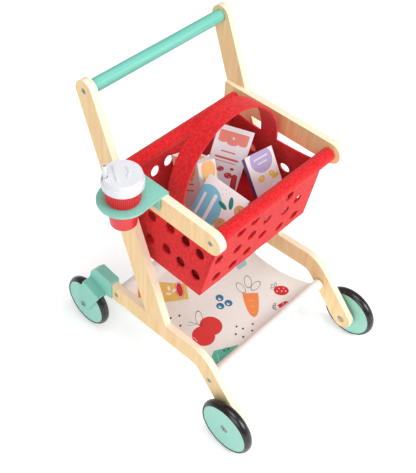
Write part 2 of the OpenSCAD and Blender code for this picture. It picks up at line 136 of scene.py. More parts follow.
class Finish:
    """A material whose nodes are added by name. Constants go on the shader's own sockets."""

    def __init__(self, name, constants):
        self.material = bpy.data.materials.new(name)
        self.material.use_nodes = True
        self.tree = self.material.node_tree
        self.shader = self.tree.nodes["Principled BSDF"]
        for socket, value in constants.items():
            self.shader.inputs[socket].default_value = value

    def plug(self, socket, value):
        """Links a value to a socket, or sets the socket to a number or a colour."""
        if isinstance(value, Wire):
            self.tree.links.new(value.socket, socket)
        elif isinstance(value, tuple) and len(value) == 3 and len(socket.default_value) == 4:
            socket.default_value = (*value, 1)
        else:
            socket.default_value = value

    def add(self, kind, settings, values, out=0):
        """Any other node: its settings first, then the values of its sockets."""
        node = self.tree.nodes.new("ShaderNode" + kind)
        for name, value in settings.items():
            setattr(node, name, value)
        for key, value in values.items():
            self.plug(node.inputs[key], value)
        return Wire(self, node.outputs[out])

    def math(self, operation, *values):
        return self.add("Math", {"operation": operation}, dict(enumerate(values)))

    def vector(self, operation, *values, out=0):
        return self.add("VectorMath", {"operation": operation}, dict(enumerate(values)), out)

    def mix(self, share, first, second):
        return self.add("Mix", {"data_type": "RGBA"}, {0: share, 6: first, 7: second}, 2)

    def ramp(self, value, low, high, start=0.0, end=1.0):
        """start where value is below low, end above high, and a smooth step between."""
        return self.add("MapRange", {"interpolation_type": "SMOOTHSTEP"},
                        {0: value, 1: low, 2: high, 3: start, 4: end})

    def place(self, name="Object"):
        return Wire(self, self.add("TexCoord", {}, {}).socket.node.outputs[name])

    def stretched(self, at, scale, turn=(0, 0, 0)):
        return self.add("Mapping", {}, {"Vector": at, "Rotation": turn, "Scale": scale})

    def cloud(self, at, scale, detail=2.0):
        return self.add("TexNoise", {}, {"Vector": at, "Scale": scale, "Detail": detail})

    def colour(self, value):
        self.plug(self.shader.inputs["Base Color"], value)

    def bump(self, height, depth, strength=1.0):
        normal = self.add("Bump", {}, {"Height": height, "Distance": depth, "Strength": strength})
        self.plug(self.shader.inputs["Normal"], normal)


def tone(red, green, blue):
    """A colour given in display values from 0 to 255, as the shader wants it."""
    return tuple((c / 255 / 12.92) if c <= 10 else ((c / 255 + 0.055) / 1.055) ** 2.4
                 for c in (red, green, blue))


def show(piece, finish, material_slot, body, *nodes):
    """Gives a finished piece its finish, and lets it stand for its CAD nodes on a body. material_slot is not
    used.
    """
    piece.data.materials.clear()
    piece.data.materials.append(finish.material)
    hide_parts(*nodes)
    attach(piece, body)
    return piece


def alone(piece):
    """Makes a piece the only one selected, and the active one."""
    bpy.ops.object.select_all(action="DESELECT")
    piece.select_set(True)
    bpy.context.view_layer.objects.active = piece


def apply_modifier(piece, kind, **settings):
    """Adds a modifier of a kind and applies it."""
    modifier = piece.modifiers.new(kind.lower(), kind)
    for name, value in settings.items():
        setattr(modifier, name, value)
    alone(piece)
    bpy.ops.object.modifier_apply(modifier=modifier.name)


def made(build, name):
    """Turns a finished bmesh into a piece with its faces outwards."""
    bmesh.ops.recalc_face_normals(build, faces=build.faces)
    mesh = bpy.data.meshes.new(name)
    build.to_mesh(mesh)
    build.free()
    piece = bpy.data.objects.new(name, mesh)
    scene.collection.objects.link(piece)
    return piece


def drill(board, centre, r, depth, spin=(0, math.pi / 2, 0)):
    """Bores a round hole through centre, in millimetres. It runs along X unless it is spun."""
    bpy.ops.mesh.primitive_cylinder_add(vertices=32, radius=r * MM, depth=depth * MM,
                                        location=[c * MM for c in centre], rotation=spin)
    bit = bpy.context.object
    bpy.ops.object.transform_apply(location=True, rotation=True, scale=True)
    apply_modifier(board, "BOOLEAN", operation="DIFFERENCE", solver="EXACT", object=bit)
    bpy.data.objects.remove(bit)


def rounded_copy(node, name, width, segments=3, smooth=40):
    """A copy of a CAD node whose edges are rounded over."""
    piece = bpy.data.objects.new(name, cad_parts[node].data.copy())
    scene.collection.objects.link(piece)
    alone(piece)
    bpy.ops.object.mode_set(mode="EDIT")
    bpy.ops.mesh.select_all(action="SELECT")
    bpy.ops.mesh.remove_doubles(threshold=0.00002)
    bpy.ops.mesh.dissolve_limited(angle_limit=math.radians(0.5))
    bpy.ops.object.mode_set(mode="OBJECT")
    apply_modifier(piece, "BEVEL", width=width * MM, segments=segments, limit_method="ANGLE",
                   angle_limit=math.radians(35))
    alone(piece)
    bpy.ops.object.shade_smooth_by_angle(angle=math.radians(smooth))
    apply_modifier(piece, "WEIGHTED_NORMAL", keep_sharp=True)
    return piece


def plywood(name, grain_angle):
    """Birch plywood. The grain of its faces leans by grain_angle degrees from upright towards +Y."""
    finish = Finish(name, {"Specular IOR Level": 0.35, "Coat Weight": 0.12, "Coat Roughness": 0.35})
    at = finish.place()
    along = finish.stretched(at, (60, 60, 3), (math.radians(grain_angle), 0, 0))
    streaks = finish.cloud(along, 2.2, 5.0)
    fibres = finish.cloud(finish.stretched(along, (6, 6, 2)), 3.0, 3.0)
    face = finish.mix(finish.ramp(streaks, 0.35, 0.7), tone(240, 209, 158), tone(233, 196, 140))
    face = finish.mix(finish.ramp(fibres, 0.55, 0.75, 0.0, 0.35), face, tone(224, 182, 124))
    across = finish.add("SeparateXYZ", {}, {0: at})
    layers = finish.math("SINE", across * (2 * math.pi / (1.7 * MM)))
    end_grain = finish.cloud(finish.stretched(at, (900, 60, 60)), 1.0, 4.0)
    edge = finish.mix(finish.ramp(layers, 0.2, 0.9, 0.0, 0.5), tone(250, 236, 210), tone(240, 216, 174))
    edge = finish.mix(finish.ramp(end_grain, 0.5, 0.8, 0.0, 0.35), edge, tone(232, 202, 158))
    normal = finish.add("SeparateXYZ", {}, {0: finish.place("Normal")})
    finish.colour(finish.mix(finish.ramp(abs(normal), 0.55, 0.8), edge, face))
    finish.plug(finish.shader.inputs["Roughness"], finish.ramp(streaks, 0.3, 0.7, 0.42, 0.52))
    finish.bump(fibres, 0.00008)
    return finish


rail_half, rail_fall = 17.75, 0.063
axle_y, axle_z = -172.0, 46.5


def rail_middle(y):
    """The height of the middle of a rail's straight stretch."""
    return 118.2 - rail_fall * y


def rail_outline():
    """The rail's outline in Y and Z: straight, round the bend, and round the axle's end."""
    half, bend_r, bend_steps, end_steps = rail_half, 33.0, 14, 24
    back, bend = (Vector((y, rail_middle(y))) for y in (120.0, -99.6))
    axle = Vector((axle_y, axle_z))
    along, down = (bend - back).normalized(), (axle - bend).normalized()
    turn = along.angle(down)

    def turned(vector, angle):
        return Matrix.Rotation(angle, 2) @ vector

    over, ahead = turned(along, -math.pi / 2), turned(down, -math.pi / 2)
    pivot = bend - along * bend_r * math.tan(turn / 2) - over * bend_r
    top = [pivot + turned(over, turn * k / bend_steps) * (bend_r + half) for k in range(bend_steps + 1)]
    nose = [axle + turned(ahead, math.pi * k / end_steps) * half for k in range(end_steps + 1)]
    under = [pivot + turned(ahead, -turn * k / bend_steps) * (bend_r - half) for k in range(bend_steps + 1)]
    return [back + over * half, *top, *nose, *under, back - over * half]


def base_rail(sign):
    """A rail sawn to its outline, then bored for the axle, the screws and the upright's pegs."""
    inner, outer = 129.0, 141.0
    outline = rail_outline()
    build = bmesh.new()
    near, far = ([build.verts.new((sign * x * MM, p.x * MM, p.y * MM)) for p in outline]
                 for x in (inner, outer))
    build.faces.new(near)
    build.faces.new(far)
    for k in range(len(outline)):
        after = (k + 1) % len(outline)
        build.faces.new((near[k], near[after], far[after], far[k]))
    rail = made(build, "base_rail_board")
    apply_modifier(rail, "BEVEL", width=1.6 * MM, segments=3, limit_method="ANGLE",
                   angle_limit=math.radians(35))

    def across(x0, x1, y, z, r):
        drill(rail, (sign * (x0 + x1) / 2, y, z), r, x1 - x0)

    axle_r, nut_r, nut_sunk = 3.0, 6.1, 5.0
    across(inner - 1, outer + 1, axle_y, axle_z, axle_r)
    across(inner - 1, inner + nut_sunk, axle_y, axle_z, nut_r)
    screw_r, head_r, head_sunk = 2.2, 4.6, 2.7
    for y, z in ((-120.3, 96.1), (84.6, rail_middle(84.6) - 0.5)):
        across(inner - 1, outer + 1, y, z, screw_r)
        across(outer - head_sunk, outer + 1, y, z, head_r)
    pilot_y, pilot_r, pilot_sunk = 108.0, 1.6, 8.0
    across(inner - 3, inner + pilot_sunk, pilot_y, rail_middle(pilot_y), pilot_r)
    peg_lean, peg_r, peg_hole, peg_up = math.radians(20.74), 3.0, 40.0, 6.0
    for y in (-16.55, 5.45):
        rail_top = rail_middle(y) + rail_half * math.hypot(1, rail_fall)
        centre = (sign * (inner + outer) / 2, y + peg_up * math.sin(peg_lean),
                  rail_top + peg_up * math.cos(peg_lean))
        drill(rail, centre, peg_r, peg_hole, (-peg_lean, 0, 0))
    alone(rail)
    bpy.ops.object.shade_smooth_by_angle(angle=math.radians(40))
    apply_modifier(rail, "WEIGHTED_NORMAL", keep_sharp=True)
    return rail


upright_wood = plywood("upright_plywood", 21.6)
rail_wood = plywood("rail_plywood", 86.4)
arm_wood = plywood("arm_plywood", 90)
for side, sign in (("left", -1), ("right", 1)):
    for board, finish in (("upright", upright_wood), ("basket_arm", arm_wood)):
        node = f"{board}_{side}"
        show(rounded_copy(node, f"{node}_board", 1.6), finish, "wood", "cart_frame", node)
    show(base_rail(sign), rail_wood, "wood", "cart_frame", f"base_rail_{side}")

# ---- Handle ---------------------------------------------------------------
# A 20 mm beech dowel between the uprights, brushed with satin teal paint.

paint = Finish("teal_paint", {"Specular IOR Level": 0.4, "Coat Weight": 0.15, "Coat Roughness": 0.3})
brushed = paint.cloud(paint.stretched(paint.place(), (6, 220, 220)), 1.0, 4.0)
paint.colour(paint.mix(paint.ramp(brushed, 0.3, 0.7), tone(104, 186, 168), tone(119, 199, 181)))
paint.plug(paint.shader.inputs["Roughness"], paint.ramp(brushed, 0.3, 0.7, 0.38, 0.5))
paint.bump(brushed, 0.00012)
show(rounded_copy("handle_bar", "handle", 0.4, 2), paint, "handle_paint", "cart_frame", "handle_bar")

# ---- Dowels ---------------------------------------------------------------
# Beech dowels that carry the basket and the shelf. Most of each is inside its sleeve.

beech = Finish("beech", {"Specular IOR Level": 0.35})
lines = beech.cloud(beech.stretched(beech.place(), (12, 500, 500)), 1.0, 4.0)
beech.colour(beech.mix(beech.ramp(lines, 0.35, 0.65), tone(238, 208, 160), tone(224, 186, 132)))
beech.plug(beech.shader.inputs["Roughness"], beech.ramp(lines, 0.3, 0.7, 0.45, 0.6))
beech.bump(lines, 0.0001)
for node in ("basket_front_dowel", "basket_back_dowel", "shelf_front_dowel", "shelf_rear_dowel"):
    show(rounded_copy(node, f"{node}_rod", 0.4, 2), beech, "dowel_wood", "cart_frame", node)
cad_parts["foot_dowels"].data.materials.clear()
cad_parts["foot_dowels"].data.materials.append(beech.material)

# ---- Screws, bolts and nuts -------------------------------------------------
# Zinc-plated steel with hexagon sockets. Those of the frame sit in countersinks.

steel = Finish("zinc_plated_steel", {"Metallic": 1.0})
specks = steel.cloud(steel.place(), 900, 3.0)
steel.colour(steel.mix(specks, tone(136, 136, 134), tone(178, 178, 174)))
steel.plug(steel.shader.inputs["Roughness"], steel.ramp(specks, 0.3, 0.7, 0.28, 0.42))
for node in ("handle_screws", "arm_front_screws", "arm_rear_screws", "shelf_front_screws",
             "shelf_rear_screws", "front_axle_bolts", "front_axle_nuts", "rear_axle_bolts",
             "rear_axle_nuts", "bracket_screws"):
    show(rounded_copy(node, f"{node}_plated", 0.25, 2), steel, "screw_steel", "cart_frame", node)

# ---- Felt basket ------------------------------------------------------------
# Pressed polyester felt, 3 mm thick. The front and back walls hang from their dowels in sewn
# sleeves. Each side wall runs on into the carrying strap. Round holes are punched in all four.

felt = Finish("red_felt", {"Roughness": 0.95, "Specular IOR Level": 0.15, "Sheen Weight": 0.3,
                           "Sheen Roughness": 0.6, "Sheen Tint": (1.0, 0.45, 0.42, 1)})
at = felt.place()
mottle = felt.cloud(at, 260, 4.0)
fibre = felt.cloud(felt.stretched(at, (1, 1, 1.6)), 1500, 3.0)
red = felt.mix(felt.ramp(mottle, 0.35, 0.68), tone(196, 8, 22), tone(226, 30, 38))
felt.colour(felt.mix(felt.ramp(fibre, 0.45, 0.75, 0.0, 0.45), red, tone(238, 62, 60)))
felt.bump(mottle * 0.6 + fibre * 0.4, 0.0009, 0.8)

felt_t = 3.0
basket_z, basket_top = 232.0, 362.0
basket_half = 118.0
front_foot, back_foot = -71.0, 62.0
front_rod, back_rod = (-94.5, 373.5), (85.7, 373.5)
front_holes = [(-100, 305), (-90, 255), (-62, 338), (-57, 294), (-54, 252), (-34, 341), (-29, 303),
               (-26, 260), (0, 315), (3, 276), (43, 335), (48, 296), (50, 255), (74, 304), (86, 255)]
side_holes = [(-60, 308), (-58, 266), (-31, 310), (-28, 268), (0, 312), (1, 272), (36, 310), (34, 268)]
hole_r = 9.0
corner_lean = 10.0


def smooth_path(points, passes=3):
    """A route through the points with its corners cut, as a list of vectors."""
    route = [Vector(p) for p in points]
    for _ in range(passes):
        cut = [route[0]]
        for a, b in zip(route, route[1:]):
            cut += [a * 0.75 + b * 0.25, a * 0.25 + b * 0.75]
        route = cut + [route[-1]]
    return route


class Route:
    """A path in a plane that is read by the length along it."""

    def __init__(self, points):
        self.points = points
        self.at = [0.0]
        for a, b in zip(points, points[1:]):
            self.at.append(self.at[-1] + (b - a).length)
        self.length = self.at[-1]

    def read(self, s):
        """The point at length s and the normal on the path's left there."""
        s = min(max(s, 0.0), self.length)
        k = 0
        while k < len(self.at) - 2 and self.at[k + 1] < s:
            k += 1
        a, b = self.points[k], self.points[k + 1]
        share = (s - self.at[k]) / max(self.at[k + 1] - self.at[k], 1e-9)
        before = self.points[max(k - 1, 0)]
        after = self.points[min(k + 2, len(self.points) - 1)]
        along = ((b - before) * (1 - share) + (after - a) * share).normalized()
        return a.lerp(b, share), Vector((-along.y, along.x))


def flat_slab(name, x0, x1, y0, y1, cell, thick):
    """A flat slab in millimetres, cut into square cells, with its lower face at zero."""
    columns = max(2, round((x1 - x0) / cell))
    rows = max(2, round((y1 - y0) / cell))
    bpy.ops.mesh.primitive_grid_add(x_subdivisions=columns, y_subdivisions=rows, size=1,
                                    location=((x0 + x1) / 2, (y0 + y1) / 2, 0))
    slab = bpy.context.object
    slab.name = name
    slab.scale = (x1 - x0, y1 - y0, 1)
    bpy.ops.object.transform_apply(location=True, rotation=True, scale=True)
    thicken(slab, thick)
    return slab


def thicken(sheet, thick):
    """Extrudes a flat sheet upwards into a closed slab."""
    alone(sheet)
    bpy.ops.object.mode_set(mode="EDIT")
    bpy.ops.mesh.select_all(action="SELECT")
    bpy.ops.mesh.extrude_region_move(TRANSFORM_OT_translate={"value": (0, 0, thick)})
    bpy.ops.mesh.select_all(action="SELECT")
    bpy.ops.mesh.normals_make_consistent(inside=False)
    bpy.ops.object.mode_set(mode="OBJECT")


def punch(slab, holes, radius):
    """Punches round holes through a slab."""
    punches = []
    for x, y in holes:
        bpy.ops.mesh.primitive_cylinder_add(vertices=28, radius=radius, depth=20, location=(x, y, 0))
        punches.append(bpy.context.object)
    bpy.ops.object.select_all(action="DESELECT")
    for cutter in punches:
        cutter.select_set(True)
    bpy.context.view_layer.objects.active = punches[0]
    bpy.ops.object.join()
    bpy.ops.object.transform_apply(location=True, rotation=True, scale=True)
    cutter = bpy.context.object
    apply_modifier(slab, "BOOLEAN", operation="DIFFERENCE", solver="EXACT", object=cutter)
    bpy.data.objects.remove(cutter)


def soft_edges(slab, width):
    """Rounds the rim of a slab and of its holes."""
    apply_modifier(slab, "BEVEL", width=width, segments=2, limit_method="ANGLE",
                   angle_limit=math.radians(60), use_clamp_overlap=True)


def shaped(slab, form):
    """Moves each point of a flat slab, in millimetres, to where form puts it, and smooths it."""
    for vertex in slab.data.vertices:
        vertex.co = Vector(form(*vertex.co)) * MM
    alone(slab)
    bpy.ops.object.mode_set(mode="EDIT")
    bpy.ops.mesh.select_all(action="SELECT")
    bpy.ops.mesh.normals_make_consistent(inside=False)
    bpy.ops.object.mode_set(mode="OBJECT")
    bpy.ops.object.shade_smooth_by_angle(angle=math.radians(50))
    return slab


def wall_route(rod, foot, toward):
    """The wall from its foot up to its rod, once round the rod, and a short tail sewn to the wall."""
    middle_r = 9.6
    foot_mid = Vector((foot + toward * felt_t / 2, basket_z + 1))
    neck = Vector((rod[0] + toward * 2.6, rod[1] - 14))
    steps = 20
    loop = [(rod[0] + toward * middle_r * math.cos(a), rod[1] + middle_r * math.sin(a))
            for a in (math.radians(-62 + 304 * k / steps) for k in range(steps + 1))]
    tail = [(rod[0] - toward * 1.0, rod[1] - 14.5), (rod[0] - toward * 0.4, rod[1] - 19)]
    return Route(smooth_path([foot_mid, foot_mid.lerp(neck, 0.5), neck, *loop, *tail], 2))


def felt_wall(name, rod, foot, toward):
    """The front or back wall, punched flat, then hung along its route with a slight belly."""
    route = wall_route(rod, foot, toward)
    slab = flat_slab(name, -basket_half, basket_half, 0, route.length, 3.2, felt_t)
    slope = math.hypot(1, (rod[0] - foot) / (rod[1] - basket_z))
    punch(slab, [(x, (z - basket_z) * slope) for x, z in front_holes], hole_r)
    soft_edges(slab, 0.7)

    def form(x, s, h):
        point, normal = route.read(s)
        point = point + normal * (h - felt_t / 2) * -toward
        share = min(max((point.y - basket_z) / (basket_top - basket_z), 0), 1)
        belly = 4 * share * (1 - share) * math.cos(math.pi * x / (2 * basket_half))
        ripple = noise.noise(Vector((x, s, 0)) * 0.035) * 0.7
        neck = 1 - min(max((point.y - 356) / 7, 0), 1)
        inset = corner_lean * share ** 1.5 * neck * min(max((abs(x) - 70) / 48, 0), 1) ** 2
        return (x - math.copysign(inset, x), point.x + (ripple * (1 - share) - toward * 0.8 * belly),
                point.y)

    shaped(slab, form)
    return slab


for side, rod, foot, toward in (("front", front_rod, front_foot, 1), ("back", back_rod, back_foot, -1)):
    show(felt_wall(f"felt_{side}_wall", rod, foot, toward), felt, "felt", "cart_frame", f"felt_{side}_panel")


def wall_ends(z):
    """Y of the front and back walls' inner faces at a height."""
    share = (z - basket_z) / (front_rod[1] - basket_z)
    return (front_foot + felt_t + (front_rod[0] - front_foot) * share,
            back_foot - felt_t + (back_rod[0] - back_foot) * share)


def side_wall_and_strap():
    """Both side walls and the strap between them, cut in one from flat felt."""
    lean, strap_half, strap_top = 17.0, 15.0, 467.0
    wall_h = basket_top - basket_z
    rise = strap_top - basket_top - felt_t / 2
    reach = basket_half - lean - felt_t / 2
    bow = [math.pi * k / 60 for k in range(61)]
    arch = Route([Vector((-reach * math.cos(a), basket_top + rise * math.sin(a))) for a in bow])
    edge_cells, strap_cells, wall_rows = 18, 10, 42
    arch_rows = round(arch.length / 3.2)
    build = bmesh.new()

    def row(y, full, front, back):
        inner = [-strap_half + 2 * strap_half * k / strap_cells for k in range(strap_cells + 1)]
        if not full:
            return [build.verts.new((x, y, 0)) for x in inner]
        before = [front + (-strap_half - front) * k / edge_cells for k in range(edge_cells)]
        after = [strap_half + (back - strap_half) * (k + 1) / edge_cells for k in range(edge_cells)]
        return [build.verts.new((x, y, 0)) for x in before + inner + after]

    def weave(lower, upper):
        for k in range(len(lower) - 1):
            build.faces.new((lower[k], lower[k + 1], upper[k + 1], upper[k]))

    rows = [row(wall_h * j / wall_rows, True, *wall_ends(basket_z + wall_h * j / wall_rows))
            for j in range(wall_rows + 1)]
    for lower, upper in zip(rows, rows[1:]):
        weave(lower, upper)
    last = rows[-1][edge_cells:edge_cells + strap_cells + 1]
    for j in range(1, arch_rows):
        band = row(wall_h + arch.length * j / arch_rows, False, 0, 0)
        weave(last, band)
        last = band
    rows = [row(wall_h + arch.length + wall_h * (1 - j / wall_rows), True,
                *wall_ends(basket_z + wall_h * j / wall_rows)) for j in range(wall_rows, -1, -1)]
    weave(last, rows[0][edge_cells:edge_cells + strap_cells + 1])
    for lower, upper in zip(rows, rows[1:]):
        weave(lower, upper)
    slab = made(build, "felt_sides_and_strap")
    thicken(slab, felt_t)
    total = 2 * wall_h + arch.length
    holes = [(y, z - basket_z) for y, z in side_holes]
    punch(slab, holes + [(y, total - s) for y, s in holes], hole_r)
    soft_edges(slab, 0.7)

    def form(y, s, h):
        if wall_h < s < wall_h + arch.length:
            point, normal = arch.read(s - wall_h)
            point = point + normal * (h - felt_t / 2)
            tilt = 2.5 * math.sin(math.pi * (s - wall_h) / arch.length)
            return point.x, y + tilt * (point.y - basket_top) / rise, point.y
        side = -1 if s <= wall_h else 1
        z = basket_z + (s if side < 0 else total - s)
        front, back = wall_ends(z)
        u = (y - (front + back) / 2) / ((back - front) / 2)
        inward = (corner_lean + (lean - corner_lean) * max(0, 1 - u * u)) * (
            (z - basket_z) / wall_h) ** 1.5
        depth = felt_t - h
        return side * (basket_half - inward - depth), y, z

    shaped(slab, form)
    width = wall_ends(basket_top)[1] - wall_ends(basket_top)[0]
    middle = sum(wall_ends((basket_z + basket_top) / 2)[k] * (-1, 1)[k] for k in (0, 1))
    area = 2 * middle * wall_h + 2 * strap_half * arch.length - 2 * len(side_holes) * math.pi * hole_r ** 2
    width * MM
    area * MM * MM
    return slab


show(side_wall_and_strap(), felt, "felt", "cart_frame", "felt_side_left", "felt_side_right", "carry_strap")


def felt_floor():
    """The floor panel, sewn between the feet of the walls. Its height wavers a little at random."""
    y0, y1 = front_foot + felt_t, back_foot - felt_t
    slab = flat_slab("felt_floor_panel", -basket_half + felt_t, basket_half - felt_t, y0, y1, 5, felt_t)
    soft_edges(slab, 0.7)
    shaped(slab, lambda x, y, h: (x, y, basket_z + h + 0.2 * noise.noise(Vector((x, y, 0)) * 0.03)))
    return slab


show(felt_floor(), felt, "felt", "cart_frame", "felt_floor")

# ---- Canvas shelf -----------------------------------------------------------
# Cotton canvas that hangs between two dowels in sewn sleeves. Its long edges are cut in a
# shallow curve and hemmed. Fruit, vegetables and packets are screen-printed on its top face.


class Print:
    """Inks a flat area whose place is read in millimetres. Every mask is 1 inside its shape."""

    def __init__(self, finish, at, edge=0.35):
        self.finish = finish
        self.at = at
        self.edge = edge

    def local(self, centre, turn=0.0, scale=(1, 1)):
        return self.finish.add("Mapping", {"vector_type": "TEXTURE"},
                               {"Vector": self.at, "Location": (*centre, 0),
                                "Rotation": (0, 0, math.radians(turn)), "Scale": (*scale, 1)})

    def inside(self, distance, soft=None):
        soft = soft or self.edge
        return self.finish.ramp(distance, -soft, soft, 1.0, 0.0)

    def oval(self, centre, rx, ry=None, turn=0.0):
        ry = ry or rx
        reach = self.finish.vector("LENGTH", self.local(centre, turn, (rx, ry)), out=1)
        return self.inside(reach - 1.0, self.edge / min(rx, ry))

    def ring(self, centre, rx, ry, turn=0.0, line=0.7):
        reach = self.finish.vector("LENGTH", self.local(centre, turn, (rx, ry)), out=1)
        return self.inside(abs(reach - 1.0) - line / 2 / min(rx, ry), self.edge / min(rx, ry))

    def bar(self, start, end, line):
        """A round-ended stroke from start to end."""
        a, b = Vector(start), Vector(end)
        turn = math.degrees(math.atan2(b.y - a.y, b.x - a.x))
        flat = self.finish.vector("ABSOLUTE", self.local(a.lerp(b, 0.5), turn))
        flat = self.finish.vector("SUBTRACT", flat, ((b - a).length / 2, 0.0, 0.0))
        flat = self.finish.vector("MAXIMUM", flat, (0.0, 0.0, 0.0))
        return self.inside(self.finish.vector("LENGTH", flat, out=1) - line / 2)

    def shape(self, *corners):
        """A convex shape, its corners given anticlockwise."""
        depth = None
        for (ax, ay), (bx, by) in zip(corners, corners[1:] + corners[:1]):
            out = Vector((by - ay, ax - bx)).normalized()
            side = self.finish.vector("DOT_PRODUCT", self.at, (out.x, out.y, 0.0), out=1) - (
                out.x * ax + out.y * ay)
            depth = side if depth is None else self.finish.math("MAXIMUM", depth, side)
        return self.inside(depth)

    def either(self, *masks):
        total = masks[0]
        for mask in masks[1:]:
            total = self.finish.math("MAXIMUM", total, mask)
        return total

    def both(self, first, second):
        return self.finish.math("MINIMUM", first, second)

    def lay(self, under, *layers):
        """Lays inks over a ground, each layer a colour and its masks."""
        for ink, *masks in layers:
            under = self.finish.mix(self.either(*masks), under, tone(*ink))
        return under


canvas = Finish("printed_canvas", {"Roughness": 0.9, "Specular IOR Level": 0.2, "Sheen Weight": 0.15})
at = canvas.place()
warp = canvas.math("SINE", canvas.add("SeparateXYZ", {}, {0: at}) * (2 * math.pi / (0.9 * MM)))
weft_at = canvas.add("SeparateXYZ", {}, {0: at}, 1)
weft = canvas.math("SINE", weft_at * (2 * math.pi / (0.9 * MM)))
slub = canvas.cloud(canvas.stretched(at, (1, 6, 1)), 120, 3.0)
ground = canvas.mix(canvas.ramp(slub, 0.35, 0.7), tone(243, 250, 245), tone(237, 244, 238))
flat_at = canvas.add("CombineXYZ", {}, {0: canvas.add("SeparateXYZ", {}, {0: at}) * 1000,
                                        1: weft_at * 1000})
ink = Print(canvas, flat_at)
line_ink = (52, 84, 88)
art = ink.lay(
    ground,
    # a packet with a white leaf, in the near corner at the back
    ((226, 150, 70), ink.shape((-31, 33), (-27, 35.5), (-45, 8), (-49, 10))),
    ((234, 200, 108), ink.shape((-65, 64), (-84, 31), (-49, 10), (-31, 33))),
    ((205, 52, 60), ink.oval((-48, 32), 15.5, 7, 54)),
    ((252, 246, 236), ink.oval((-60, 45), 4.6, 2.4, 60), ink.oval((-56, 37), 4.6, 2.2, 10),
     ink.oval((-67, 38), 4.6, 2.2, -40), ink.ring((-48, 32), 14, 5.6, 54, 0.6)),
    ((234, 140, 62), ink.shape((-102, 75), (-112, 64), (-106, 58), (-97, 68))),
    # blueberries
    ((38, 126, 170), ink.oval((-7.5, -21), 6.6), ink.oval((-4.5, -38), 6.6), ink.oval((-19, -33), 6.6)),
    ((244, 250, 252), ink.oval((-8.5, -22), 3.0, 2.4, 30), ink.oval((-5.5, -38.6), 2.9, 2.4, 30),
     ink.oval((-20, -33.5), 2.9, 2.4, 30)),
    ((38, 126, 170), ink.oval((-6.8, -21.4), 2.0, 1.6), ink.oval((-3.9, -38), 2.0, 1.6),
     ink.oval((-18.4, -33), 2.0, 1.6)),
    # a carrot with its leaves in outline
    (line_ink, ink.ring((33.5, -31.5), 11, 6, 74), ink.ring((52, -31), 12.5, 6, 47),
     ink.ring((55, -45.5), 11.5, 5.6, 8)),
    ((242, 150, 84), ink.both(ink.oval((36.4, -49.2), 49, 13, -131), ink.shape(
        (21.8, -35.6), (-17.5, -80.9), (11.7, -108.1), (51, -62.8)))),
    ((252, 190, 140), ink.bar((22.5, -57), (29.5, -63.4), 1.0), ink.bar((16.5, -67.5), (21, -71.5), 1.0),
     ink.bar((9, -77.3), (12.4, -80.3), 1.0)),
    # strawberries, one of them on the sleeve's edge
    (line_ink, ink.ring((75, -66.5), 4.2, 2.2, 75), ink.ring((80.5, -67.5), 4.2, 2.0, 35),
     ink.ring((71, -69), 3.6, 1.9, 120), ink.ring((43, -96), 3.8, 1.9, 30),
     ink.ring((40, -98), 3.6, 1.9, 80), ink.ring((46, -93), 3.4, 1.8, 10)),
    ((212, 40, 48), ink.oval((77.5, -82), 12.4, 10.6, -43),
     ink.shape((48.5, -97.2), (46, -104.5), (67, -106.5), (64, -101))),
    ((252, 236, 220), ink.oval((71.5, -78), 1.2), ink.oval((77, -83.5), 1.2), ink.oval((78.5, -76.5), 1.1),
     ink.oval((81.5, -88), 1.2), ink.oval((84, -81.5), 1.0), ink.oval((57, -102.6), 1.0)),
    # an apple with its stem and a leaf
    ((220, 62, 60), ink.oval((-59.3, -49.4), 18.4), ink.oval((-81.9, -54.5), 18.4)),
    ((250, 226, 220), ink.bar((-95, -45), (-96.6, -55), 0.9)),
    (line_ink, ink.ring((-62.5, -26.5), 14, 5.6, 50), ink.bar((-80, -20.5), (-72.6, -31), 0.8),
     ink.bar((-86, -24), (-73, -32.5), 0.6)),
    # seeds
    ((40, 62, 66), *(ink.oval(dot, 2.1, 1.6, 30) for dot in (
        (-97, 4), (-83, -2), (-95, -16), (-31, -79), (-27, -89), (-9, -94), (-43, -88), (-39, -100),
        (-20, -102)))),
    # a tube at the sleeve and a jar under the basket
    ((96, 196, 174), ink.shape((-91, -85), (-102, -90), (-108, -106), (-56, -106), (-57, -104))),
    ((196, 236, 226), ink.bar((-92, -94), (-101, -105), 0.9)),
    ((40, 70, 72), ink.ring((-76, -97.5), 4.6, 2.0, -18, 1.0)),
    ((164, 216, 226), ink.shape((58, -4), (78, -6), (88, 11), (66, 15))),
)
face_up = canvas.add("SeparateXYZ", {}, {0: canvas.place("Normal")}, 2)
canvas.colour(canvas.mix(canvas.ramp(face_up, -0.1, 0.1), ground, art))
canvas.bump(warp * 0.5 + weft * 0.5 + slub * 1.5, 0.00018, 0.6)

sleeve_r = 7.9
shelf_front, shelf_rear = (-120.3, 96.1), (84.6, 112.4)
canvas_t, waist, canvas_half = 1.6, 20.0, 126.0


